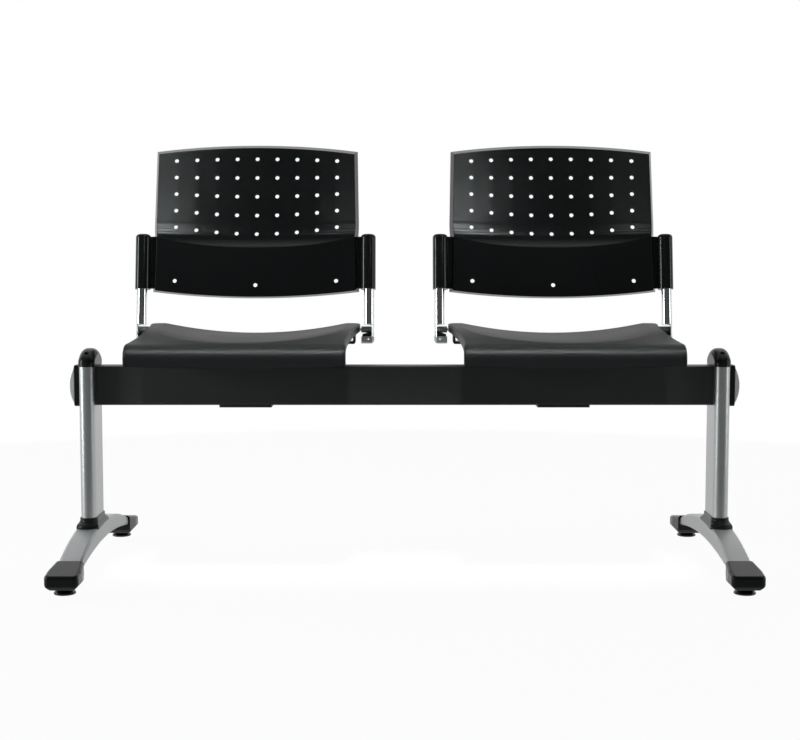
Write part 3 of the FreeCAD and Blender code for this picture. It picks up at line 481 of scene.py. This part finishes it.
def new_piece(name, build, slot, body):
    """Mesh object filled by build(bm), dressed in a slot's finish and carried by a body."""
    mesh = bpy.data.meshes.new(name)
    bm = bmesh.new()
    build(bm)
    bmesh.ops.recalc_face_normals(bm, faces=bm.faces)
    bm.to_mesh(mesh)
    bm.free()
    piece = new_object(name, mesh)
    for face in mesh.polygons:
        face.use_smooth = True
    mesh.set_sharp_from_angle(angle=sharp_angle)
    dress(piece, slot)
    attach(piece, body)
    return piece


def ring(bm, place, radius_at, z, steps):
    """Ring of points whose radius follows the turn."""
    points = []
    for step in range(steps):
        turn = full_turn * step / steps
        radius = radius_at(turn, z)
        points.append(bm.verts.new(place + Vector((radius * math.cos(turn), radius * math.sin(turn), z))))
    return points


def join_rings(bm, lower, upper):
    """Band of faces between two rings."""
    for i in range(len(lower)):
        j = (i + 1) % len(lower)
        bm.faces.new((lower[i], lower[j], upper[j], upper[i]))


def stack(bm, rings):
    """Closed skin over rings that follow one another."""
    for lower, upper in zip(rings, rings[1:]):
        join_rings(bm, lower, upper)
    bm.faces.new(list(reversed(rings[0])))
    bm.faces.new(rings[-1])


def hex_radius(trim):
    """Radius around a hexagon whose corners reach no further than trim times half its width."""
    half_side = math.pi / 6

    def radius(turn, z):
        from_corner = (turn + half_side) % (2 * half_side) - half_side
        return min(hex_flats / 2 / math.cos(half_side - abs(from_corner)), hex_flats / 2 * trim)

    return radius


def threaded_stem(node):
    """Glide stem with a rolled thread over its shank and a bevelled hexagon above the pad."""
    low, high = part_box(node)
    axis = Vector(((low.x + high.x) / 2, (low.y + high.y) / 2, 0.0))
    thread_length = high.z - hex_high
    rows = int(thread_length / thread_pitch * thread_rows_per_turn)

    def thread_radius(turn, z):
        wave = abs(((z / thread_pitch - turn / full_turn) % 1.0) * 2 - 1)
        run_in = min(1.0, (high.z - z) / thread_lead)
        return shank_radius - thread_depth * wave - thread_lead_cut * (1 - run_in)

    def plain_radius(turn, z):
        return shank_radius

    def build(bm):
        stack(bm, [ring(bm, axis, plain_radius, z, thread_steps) for z in (low.z, hex_low)])
        levels = [(hex_low, hex_face_trim), (hex_low + hex_bevel, hex_side_trim),
                  (hex_high - hex_bevel, hex_side_trim), (hex_high, hex_face_trim)]
        stack(bm, [ring(bm, axis, hex_radius(trim), z, hex_steps) for z, trim in levels])
        heights = [hex_high + thread_length * row / rows for row in range(rows + 1)]
        stack(bm, [ring(bm, axis, thread_radius, z, thread_steps) for z in heights])

    body = node.replace("glide_stem", "stem")
    piece = new_piece("threaded_" + node, build, "stem_steel", body)
    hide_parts(node)


def weld_bead(name, start, end, out, up):
    """Rippled fillet weld along a corner, from start to end, between the directions out and up."""
    run = end - start
    rows = max(bead_least_rows, int(run.length / (bead_ripple_pitch / bead_rows_per_ripple)))

    def build(bm):
        profiles = []
        for row in range(rows + 1):
            along = run.length * row / rows
            swell = bead_size + bead_ripple * math.sin(full_turn * along / bead_ripple_pitch)
            size = swell * min(1.0, bead_end_share + bead_end_growth * min(row, rows - row) / rows)
            corner = start + run * (row / rows)
            crown = (out + up).normalized() * size * bead_crown
            profiles.append([bm.verts.new(corner), bm.verts.new(corner + out * size),
                             bm.verts.new(corner + crown), bm.verts.new(corner + up * size)])
        stack(bm, profiles)

    new_piece(name, build, "black_steel", "bench")


def seat_welds(side):
    """Beads between the rails and the saddle, and between the cross bracket and the rails."""
    upwards = Vector((0, 0, 1))
    forwards = Vector((0, -1, 0))
    saddle_low, saddle_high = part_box(side + "_saddle")
    bracket_low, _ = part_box(side + "_cross_bracket")
    for hand in ("left", "right"):
        rail_low, rail_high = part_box(side + "_rail_" + hand)
        for edge_x, out_x, edge_name in ((rail_low.x, -1, "outer"), (rail_high.x, 1, "inner")):
            start = Vector((edge_x, saddle_low.y + saddle_bead_inset, saddle_high.z))
            end = Vector((edge_x, saddle_high.y - saddle_bead_inset, saddle_high.z))
            weld_bead("weld_%s_saddle_%s_%s" % (side, hand, edge_name), start, end,
                      Vector((out_x, 0, 0)), upwards)
        start = Vector((rail_low.x + bracket_bead_inset, bracket_low.y, rail_high.z))
        end = Vector((rail_high.x - bracket_bead_inset, bracket_low.y, rail_high.z))
        weld_bead("weld_%s_bracket_%s" % (side, hand), start, end, forwards, upwards)


for name in sorted(frame["nodes"]):
    if name.startswith("glide_stem"):
        threaded_stem(name)
for side in ("left", "right"):
    seat_welds(side)


# Studio

def white_floor():
    """Pale floor that takes the bench's shadow and fades to white far away."""
    mesh = bpy.data.meshes.new("floor")
    signs = ((-1, -1), (1, -1), (1, 1), (-1, 1))
    corners = [(x * floor_reach, y * floor_reach, floor_height) for x, y in signs]
    mesh.from_pydata(corners, [], [(0, 1, 2, 3)])
    floor = new_object("floor", mesh)
    finish = new_finish("floor_white")
    place = finish.place()
    distance = finish.add("ShaderNodeVectorMath", {"operation": "LENGTH"}, {0: place}, "Value")
    rearward = finish.along(place, "Y")
    far = finish.between(distance, floor_fade_start, floor_fade_end)
    pale = 1 - finish.between(rearward, *dark_floor_front) + finish.between(rearward, *dark_floor_rear)
    seen = finish.ray("Camera")
    white = finish.math("MAXIMUM", far, floor_glow) * seen
    white = white + finish.math("MAXIMUM", far, floor_mirrored_glow) * pale * finish.mirrored()
    paper = finish.blend(seen, finish.paint(floor_level), finish.paint(floor_seen_level))
    glow = finish.add("ShaderNodeEmission", None, {"Color": grey(1.0), "Strength": 1.0})
    finish.add("ShaderNodeOutputMaterial", None, {"Surface": finish.blend(white, paper, glow)})
    mesh.materials.append(finish.owner)


def studio_world():
    """White backdrop behind and beside the bench, a dim room before it, and plain white to the camera."""
    world = bpy.data.worlds.new("studio")
    bpy.context.scene.world = world
    finish = Finish(world)
    direction = finish.add("ShaderNodeTexCoord", output="Generated")
    backdrop = finish.between(finish.along(direction, "Y"), backdrop_start, backdrop_full)
    white = finish.ray("Camera") + finish.mirrored() * backdrop
    room = finish.blend(backdrop, finish.glow(room_level, lamp_tint), finish.glow(backdrop_level, lamp_tint))
    surface = finish.blend(white, room, finish.glow(1.0, plain_white))
    finish.add("ShaderNodeOutputWorld", None, {"Surface": surface})


def soft_box(name, place, target, width, height, level, spread):
    """Area lamp that looks as bright as level from its target, whatever its grid of spread degrees."""
    half = math.radians(spread / 2)
    grid_share = 1.0 if spread >= open_spread else 1.0 - half / math.tan(half)
    lamp = bpy.data.lights.new(name, "AREA")
    lamp.shape = "RECTANGLE"
    lamp.size = width
    lamp.size_y = height
    lamp.spread = math.radians(spread)
    lamp.color = lamp_tint
    lamp.energy = level * math.pi * width * height * grid_share
    lamp_object = new_object(name, lamp)
    lamp_object.location = place
    lamp_object.rotation_euler = (Vector(target) - Vector(place)).to_track_quat("-Z", "Y").to_euler()
    lamp_object.visible_camera = False


def back_bank(name, chair_x, low_turn, high_turn, width, level):
    """Arc of boxes before one place on a back, from low to high."""
    target = Vector((chair_x, bank_target_y, bank_target_z))
    for step, (rise, height, share) in enumerate(bank_steps):
        turn = math.radians(low_turn + (high_turn - low_turn) * step / (len(bank_steps) - 1))
        lift = math.radians(rise)
        toward = Vector((math.sin(turn) * math.cos(lift), -math.cos(turn) * math.cos(lift), math.sin(lift)))
        soft_box("%s_box_%d" % (name, step), target + toward * bank_distance, target, width, height,
                 level * share, bank_spread)


def photo_camera():
    """Camera where the photograph was taken from."""
    lens = bpy.data.cameras.new("camera")
    lens.sensor_fit = "HORIZONTAL"
    lens.sensor_width = sensor_width
    lens.lens = focal_pixels / picture_width * sensor_width
    camera = new_object("camera", lens)
    camera.location = camera_place
    camera.rotation_euler = (math.pi / 2 - camera_down, 0, 0)
    bpy.context.scene.camera = camera


white_floor()
studio_world()
for bank in banks:
    back_bank(*bank)
for lamp in lamps:
    soft_box(*lamp)
photo_camera()
bpy.context.scene.view_settings.view_transform = "Standard"
